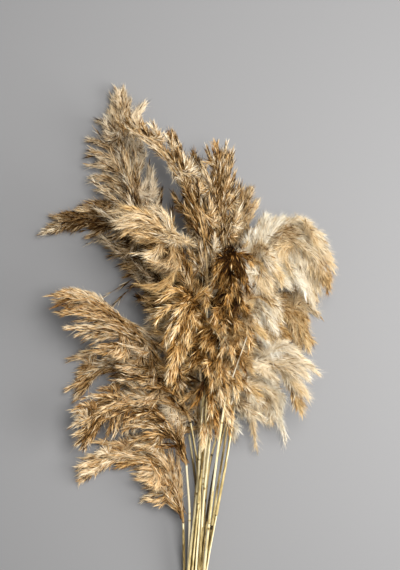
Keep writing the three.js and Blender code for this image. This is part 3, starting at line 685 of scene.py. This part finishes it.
def core_shares(fingers, core):
    """Where along the core each finger's root lies."""
    roots = bezier(core, np.linspace(0, 1, SHARE_STEPS + 1))
    return np.linalg.norm(fingers[:, None, 0] - roots, axis=2).argmin(axis=1) / SHARE_STEPS


def turned_fingers(fingers, core, last, way, gives):
    """Fingers with those up to a share of the core turned, each half as long as it was."""
    low = core_shares(fingers, core) <= last
    way = unit(np.array(way, float))
    points = [fingers[:, 0]]
    for i, give in enumerate(gives):
        half = fingers[:, i + 1] - fingers[:, i]
        heading = unit(half)
        heading = unit(heading + (way - heading) * (give * low)[:, None])
        points.append(points[-1] + heading * np.linalg.norm(half, axis=1)[:, None])
    return np.stack(points, axis=1)


def grow_fingers(name, core, rng):
    """A plume's fingers, each as the three control points of a quadratic Bezier, their tones and
    their warmths."""
    plume = PLAIN | PLUMES[name]
    extra = extra_fingers(plume, core, rng)
    fingers = np.concatenate([strand_lines(name, core), fingers_along(core, rng), extra])
    if name in TURNED:
        fingers = turned_fingers(fingers, core, *TURNED[name])
    paler = np.zeros(len(fingers))
    # Extra fingers are darker: painted shade, as they lie deeper in the plume.
    paler[-len(extra):] = -EXTRA_PAINTED_SHADE
    for share, bend, tip, *own in LONE_FINGERS.get(name, []):
        finger = [bezier(core, share), bend + shift, tip + shift]
        fingers = np.concatenate([fingers, [finger]])
        paler = np.append(paler, own or 0)
    share = core_shares(fingers, core)
    steps = np.linspace(0, 1, len(plume["paler"]))
    tones = KINDS[plume["kind"]]["tone"] + np.interp(share, steps, plume["paler"]) + paler
    tones += FINGER_VARIES * rng.normal(size=len(fingers))
    foot, tip, varies = plume["warmth"]
    warmths = foot + (tip - foot) * share ** WARMTH_RISE + varies * rng.normal(size=len(fingers))
    return fingers, tones, warmths


# Plumes: their side branches

BUNCH = 7  # side branches in a finger
SPREAD = (1.8, 3.2, 1.2)  # how far a finger's branches stray at their roots, bends and tips
BRANCH_SHORT = (-0.05, 0.7)  # how far short of its finger a branch ends, over the finger's last half
BRANCH_LOWEST = 1.0  # least height of a branch's control points
BRANCH_VARIES = 0.06
STEM_SHARES = (0, 0.35, 0.7, 1)  # where a side branch has its sections
STEM_RADII = (0.45, 0.4, 0.3, 0.2)  # there
STEM_DARK = 0.2  # how much darker the side branches are than their bracts
NEAR_SHARES = np.linspace(0.1, 0.9, 9)  # where on a branch branchlets and tufts may start


def branches_along(fingers, rng):
    """Side branches in bunches, one bunch for each finger, which draw together at their tips."""
    branches = np.repeat(fingers, BUNCH, axis=0)
    count = len(branches)
    forward = branches[:, 2] - branches[:, 1]
    stray = rng.normal(size=(count, 3, 3)) * (1, 1, LOFT)
    branches = branches + stray * np.array(SPREAD)[:, None]
    branches[:, 2] -= forward * rng.uniform(*BRANCH_SHORT, count)[:, None]
    branches[..., 2] = np.maximum(branches[..., 2], BRANCH_LOWEST)
    return branches


def nearest_on(branches, place, count):
    """The points of the branches that lie nearest to a place."""
    points = np.concatenate([curve_at(branches, t)[0] for t in NEAR_SHARES])
    return points[np.linalg.norm(points - place, axis=1).argsort()[:count]]


def branches_apart(places, branches):
    """Branchlets, each moved so that it starts on the nearest of the other branches."""
    moved = []
    for place in np.array(places, float).reshape(-1, 3, 3) + shift:
        moved.append(place + nearest_on(branches, place[0], 1)[0] - place[0])
    return np.array(moved).reshape(-1, 3, 3)


def grow_branches(name, core, rng):
    """A plume's side branches as quadratic Beziers, their tones, their warmths, and the length of
    branch for each bract."""
    kind = KINDS[PLUMES[name]["kind"]]
    fingers, tones, warmths = grow_fingers(name, core, rng)
    branches = branches_along(fingers, rng)
    apart = branches_apart(BRANCHLETS.get(name, []), branches)
    tones = np.repeat(tones, BUNCH) + BRANCH_VARIES * rng.normal(size=len(branches))
    tones = np.append(tones, np.full(len(apart), kind["tone"] - BRANCHLET_DARK))
    warmths = np.clip(np.append(np.repeat(warmths, BUNCH), np.zeros(len(apart))), 0, 1)
    steps = np.append(np.full(len(branches), kind["step"]), np.full(len(apart), BRANCHLET_STEP))
    return np.concatenate([branches, apart]), tones, warmths, steps


# Plumes: their bracts and silk

RACHIS = dict(radii=(1.6, 0.4), rings=24, sides=6)

FEWEST_BRACTS = 4  # on a branch
BRACT_CROWD = 0.85  # a power: the less it is, the more the bracts crowd towards a branch's tip
FIRST_BRACT = 0.05 ** BRACT_CROWD  # where bracts begin on a branch
LAST_BRACT = 0.92  # where they end
BRACT_LENGTHS = (8, 15)
BRACT_WIDTHS = (0.7, 1.5)
BRACT_LEANS = (0.2, 1.6)  # a bract's angle over its kind's splay
LEAN_FALL = (1.2, 0.6)  # how wide that angle is at a branch's root, and how much less at its tip
BRACT_RISE = 0.14  # how much paler a bract is at its tip than at its middle, and there than at its root; its darker root is partly its own colour, partly painted shade where it sits among the others
TIPS_FROM = 0.55  # where on a branch its own tone holds: darker before it, towards the root, partly by the bracts' own colour and partly by painted shade, and paler beyond
DARK_SHARE = 0.25  # of the bracts are dark
DARK = 2.0  # and darker by this many times their streak

FIRST_HAIR = 0.1  # where silk begins on a branch
SILK_ANGLES = (5, 45)  # in degrees
SILK_LENGTHS = (8, 18)
SILK_WIDTHS = (0.25, 0.45)
SILK_PALE = 0.18  # how much paler silk is than its branch
SILK_VARIES = 0.08


def add_stems(soup, branches, tones, warmths):
    """The side branches' own tubes."""
    paths = np.stack([curve_at(branches, share)[0] for share in STEM_SHARES], axis=1)
    radii = np.broadcast_to(STEM_RADII, paths.shape[:2])
    add_tubes(soup, paths, radii, tones - STEM_DARK, warmths)


def add_bracts(soup, kind, branches, tones, warmths, steps, rng):
    """Bracts along the side branches. Returns the number of each one's branch."""
    lengths = 2 * np.linalg.norm(branches[:, 1] - branches[:, 0], axis=1)
    owners = np.repeat(np.arange(len(branches)), np.maximum(FEWEST_BRACTS, lengths / steps).astype(int))
    total = len(owners)
    ends = [end ** (1 / BRACT_CROWD) for end in (FIRST_BRACT, LAST_BRACT)]
    share = rng.uniform(*ends, total) ** BRACT_CROWD
    point, tangent = curve_at(branches[owners], share)
    widest, fall = LEAN_FALL
    angle = np.radians(kind["splay"]) * rng.uniform(*BRACT_LEANS, total) * (widest - fall * share)
    around = 2 * math.pi * rng.random(total)
    along, radial = leaning(tangent, LOFT, angle, around)
    length = rng.uniform(*BRACT_LENGTHS, total)
    width = rng.uniform(*BRACT_WIDTHS, total)
    bend = radial * (kind["curl"] * length * rng.uniform(0, 1, total))[:, None]
    # Darker towards the branch's root and paler at its tip: partly the bracts' own colour, partly painted
    # shade deep in the plume.
    tone = tones[owners] + kind["streak"] * rng.normal(size=total) + kind["tips"] * (share - TIPS_FROM)
    tone -= DARK * kind["streak"] * (rng.random(total) < DARK_SHARE)
    # Each bract is darker at its root: partly its own colour, partly painted shade among the others.
    add_blades(soup, point, along, length, width, math.pi * rng.random(total), bend,
               (tone - BRACT_RISE, tone, tone + BRACT_RISE), warmths[owners])
    return owners


def add_silk(soup, kind, branches, tones, warmths, owners, rng):
    """Hairs along the side branches, more on those that carry more bracts."""
    owners = rng.choice(owners, int(len(owners) * kind["silk"]))
    total = len(owners)
    share = rng.uniform(FIRST_HAIR, LAST_BRACT, total)
    point, tangent = curve_at(branches[owners], share)
    angle = np.radians(rng.uniform(*SILK_ANGLES, total))
    along, _ = leaning(tangent, LOFT, angle, 2 * math.pi * rng.random(total))
    tone = tones[owners] + SILK_PALE + SILK_VARIES * rng.normal(size=total)
    # The same for silk: darker near the root, partly its own colour, partly painted shade.
    tone += kind["tips"] * (share - TIPS_FROM)
    length = rng.uniform(*SILK_LENGTHS, total)
    width = rng.uniform(*SILK_WIDTHS, total)
    add_hairs(soup, point, along, length, width, math.pi * rng.random(total), np.clip(tone, 0, 1),
              warmths[owners])


def add_tuft(soup, branches, place, way, reach, hairs, rng):
    """Hairs that stream one way from the branches about a place."""
    at = rng.choice(nearest_on(branches, place, TUFT_PLACES), hairs)
    along = unit(unit(np.array(way, float)) + TUFT_STRAY * rng.normal(size=(hairs, 3)))
    length = reach * rng.uniform(*TUFT_LENGTHS, hairs)
    width = rng.uniform(*TUFT_WIDTHS, hairs)
    add_hairs(soup, at, along, length, width, math.pi * rng.random(hairs), np.full(hairs, TUFT_TONE))


def grow_plume(name, number, material):
    """A plume: its axis, its side branches and what they carry."""
    rng = np.random.default_rng([SEED, number])
    plume = PLUMES[name]
    kind = KINDS[plume["kind"]]
    core = np.array(plume["core"], float) + shift
    branches, tones, warmths, steps = grow_branches(name, core, rng)
    soup = Soup()
    add_line(soup, core, **RACHIS, tone=kind["tone"])
    if name in BARE_STEMS:
        add_line(soup, np.array(BARE_STEMS[name], float) + shift, **BARE_STEM)
    add_stems(soup, branches, tones, warmths)
    owners = add_bracts(soup, kind, branches, tones, warmths, steps, rng)
    add_silk(soup, kind, branches, tones, warmths, owners, rng)
    for place, way, reach, hairs in TUFTS.get(name, []):
        add_tuft(soup, branches, place + shift, way, reach, hairs, rng)
    piece = soup.made(f"fronds_{name}", material)
    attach(piece, "root")
    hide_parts(f"plume_{name}")


# Materials

# Noise in a piece's own space: its scale per metre, its detail, and how far it swings each way.
PATCHES = dict(scale=34, detail=2, swing=0.32)  # in a plume's tones
MOTTLES = dict(scale=170, detail=3, swing=0.27)  # in them too
PLUME_WEAR = dict(scale=90, detail=2, swing=0.3)  # in a plume's roughness
STREAKS = dict(scale=1, detail=3, swing=0.4, stretch=(500, 12, 500))  # in a culm's tones
STRAW_WEAR = dict(scale=60, detail=3, swing=0.25)  # in a culm's roughness
RIBS = dict(scale=1, detail=3, swing=0.5, stretch=(1600, 12, 1600))  # in a culm's height

PLUME_ROUGHNESS = 0.62
PLUME_SPECULAR = 0.06
LIGHT_THROUGH = 0.3  # the share of the light that goes through bracts and silk
WARM_TINT = (0.84, 0.67, 0.42, 1)
STRAW_RAMP = [(34, 22, 6), (100, 80, 36), (168, 148, 98), (200, 186, 142), (214, 202, 170)]
STRAW_ROUGHNESS = 0.42
RIB_STRENGTH = 0.2
RIB_HEIGHT = 0.0003  # in metres


def linear(colour):
    """An 8-bit display colour as linear light."""
    parts = [c / 255 for c in colour]
    return [c / 12.92 if c <= 0.04045 else ((c + 0.055) / 1.055) ** 2.4 for c in parts] + [1.0]


def new_material(name):
    """A material with no nodes yet, and its tree."""
    material = bpy.data.materials.new(name)
    material.use_nodes = True
    tree = material.node_tree
    tree.nodes.clear()
    return material, tree


def add_node(tree, kind, inputs):
    """A shader node. inputs are values, or sockets to link, by the name or number of their own."""
    node = tree.nodes.new("ShaderNode" + kind)
    for key, value in inputs.items():
        if isinstance(value, bpy.types.NodeSocket):
            tree.links.new(value, node.inputs[key])
        else:
            node.inputs[key].default_value = value
    return node


def add_math(tree, operation, *values):
    """A math node's output. Its inputs are sockets or numbers."""
    node = add_node(tree, "Math", dict(enumerate(values)))
    node.operation = operation
    return node.outputs[0]


def read_attribute(tree, name):
    """A number that the mesh carries at its corners."""
    node = add_node(tree, "Attribute", {})
    node.attribute_name = name
    return node.outputs["Fac"]


def add_noise(tree, scale, detail, swing, stretch=None):
    """Noise in the object's own space, from -swing to swing."""
    place = add_node(tree, "TexCoord", {}).outputs["Object"]
    if stretch:
        place = add_node(tree, "Mapping", {"Vector": place, "Scale": stretch}).outputs[0]
    noise = add_node(tree, "TexNoise", {"Vector": place, "Scale": scale, "Detail": detail})
    return add_math(tree, "MULTIPLY_ADD", noise.outputs["Fac"], 2 * swing, -swing)


def add_ramp(tree, factor, stops):
    """Colours at even steps, from dark to pale, by a factor."""
    ramp = add_node(tree, "ValToRGB", {"Fac": factor})
    elements = ramp.color_ramp.elements
    elements[0].color = linear(stops[0])
    elements[1].color = linear(stops[-1])
    for i, colour in enumerate(stops[1:-1], start=1):
        elements.new(i / (len(stops) - 1)).color = linear(colour)
    return ramp.outputs["Color"]


def add_warmth(tree, colour):
    """The colour, tinted where the mesh is warm."""
    warmth = read_attribute(tree, "warmth")
    warmed = add_node(tree, "MixRGB", {"Fac": warmth, "Color1": colour, "Color2": WARM_TINT})
    warmed.blend_type = "MULTIPLY"
    return warmed.outputs["Color"]


def plume_material(kind_name):
    """Dry bracts and silk: colour by tone along a ramp, mottled and patchy, and light through them."""
    material, tree = new_material(f"dry_plume_{kind_name}")
    tone = add_math(tree, "ADD", read_attribute(tree, "tone"), add_noise(tree, **PATCHES))
    tone = add_math(tree, "ADD", tone, add_noise(tree, **MOTTLES))
    colour = add_warmth(tree, add_ramp(tree, tone, KINDS[kind_name]["ramp"]))
    rough = add_math(tree, "ADD", add_noise(tree, **PLUME_WEAR), PLUME_ROUGHNESS)
    surface = add_node(tree, "BsdfPrincipled", {
        "Base Color": colour, "Roughness": rough, "Specular IOR Level": PLUME_SPECULAR})
    through = add_node(tree, "BsdfTranslucent", {"Color": colour})
    both = add_node(tree, "MixShader", {
        "Fac": LIGHT_THROUGH, 1: surface.outputs[0], 2: through.outputs[0]})
    add_node(tree, "OutputMaterial", {"Surface": both.outputs[0]})
    return material


def culm_material():
    """Straw: pale, streaked along the stalk, slightly glossy."""
    material, tree = new_material("straw")
    tone = add_math(tree, "ADD", read_attribute(tree, "tone"), add_noise(tree, **STREAKS))
    colour = add_ramp(tree, tone, STRAW_RAMP)
    rough = add_math(tree, "ADD", add_noise(tree, **STRAW_WEAR), STRAW_ROUGHNESS)
    ribs = add_node(tree, "Bump", {
        "Strength": RIB_STRENGTH, "Distance": RIB_HEIGHT, "Height": add_noise(tree, **RIBS)})
    surface = add_node(tree, "BsdfPrincipled", {
        "Base Color": colour, "Roughness": rough, "Normal": ribs.outputs["Normal"]})
    add_node(tree, "OutputMaterial", {"Surface": surface.outputs[0]})
    return material


def floor_material():
    """A plain, pale, dull surface."""
    material, tree = new_material("pale_surface")
    surface = add_node(tree, "BsdfPrincipled", {
        "Base Color": linear(FLOOR_COLOUR), "Roughness": FLOOR_ROUGHNESS})
    add_node(tree, "OutputMaterial", {"Surface": surface.outputs[0]})
    return material


# The stage. The floor's size and what places the lights are in metres.

VIEW_MIDDLE = (0, 342)  # the middle of the photograph, in the tables' layout
VIEW_PLANE = 100  # height at which a pixel of the photograph is 1.2 mm
VIEW_HEIGHT = 684  # what the photograph's height covers there
VIEW_DISTANCE = 1616  # from the camera down to it
SENSOR = 36

FLOOR_SIZE = 12
FLOOR_COLOUR = (116, 116, 117)
FLOOR_ROUGHNESS = 0.9
SKY_STRENGTH = 0.29
LIGHT_COLOUR = (1, 0.99, 0.97)
LIGHTS = {
    "key": dict(place=(0.38, 0.36, 1.48), aim=(0, 0.05, 0), size=0.9, power=41),
    "side": dict(place=(1.1, -0.05, 0.7), aim=(0.3, -0.1, 0), size=0.8, power=21),
}


def make_camera():
    """Straight down on the bundle, at the photograph's distance."""
    data = bpy.data.cameras.new("camera")
    data.sensor_width = SENSOR
    data.lens = SENSOR * VIEW_DISTANCE / VIEW_HEIGHT
    camera = add_object("camera", data)
    camera.location = (np.array([*VIEW_MIDDLE, VIEW_PLANE + VIEW_DISTANCE]) + shift) * MM
    bpy.context.scene.camera = camera


def make_light(name, place, aim, size, power):
    """A soft, round light that points at aim."""
    data = bpy.data.lights.new(name, "AREA")
    data.shape = "DISK"
    data.size = size
    data.energy = power
    data.color = LIGHT_COLOUR
    light = add_object(name, data)
    light.location = place
    light.rotation_euler = (Vector(aim) - Vector(place)).to_track_quat("-Z", "Y").to_euler()


def make_stage():
    """The floor, the light from all around and the lights."""
    bpy.ops.mesh.primitive_plane_add(size=FLOOR_SIZE, location=(0, 0, 0))
    floor = bpy.context.active_object
    floor.name = "surface"
    floor.data.materials.append(floor_material())
    world = bpy.data.worlds.new("world")
    world.use_nodes = True
    sky = world.node_tree.nodes["Background"]
    sky.inputs["Color"].default_value = (1, 1, 1, 1)
    sky.inputs["Strength"].default_value = SKY_STRENGTH
    bpy.context.scene.world = world
    for name, light in LIGHTS.items():
        make_light(name, **light)
    bpy.context.scene.view_settings.view_transform = "Standard"


# The tables' layout is the solids' own before packing. shift takes it to the frame: the crown's culm
# ends where its core begins.
culm_lines = {name: culm_sections(name) for name in PLUMES}
shift = culm_lines["crown"][0][-1] - np.array(PLUMES["crown"]["core"][0], float)
shift[2] = 0

make_camera()
make_stage()
straw = culm_material()
plume_materials = {name: plume_material(name) for name in KINDS}
for number, name in enumerate(PLUMES):
    grow_culm(name, number, straw)
    grow_plume(name, number, plume_materials[PLUMES[name]["kind"]])
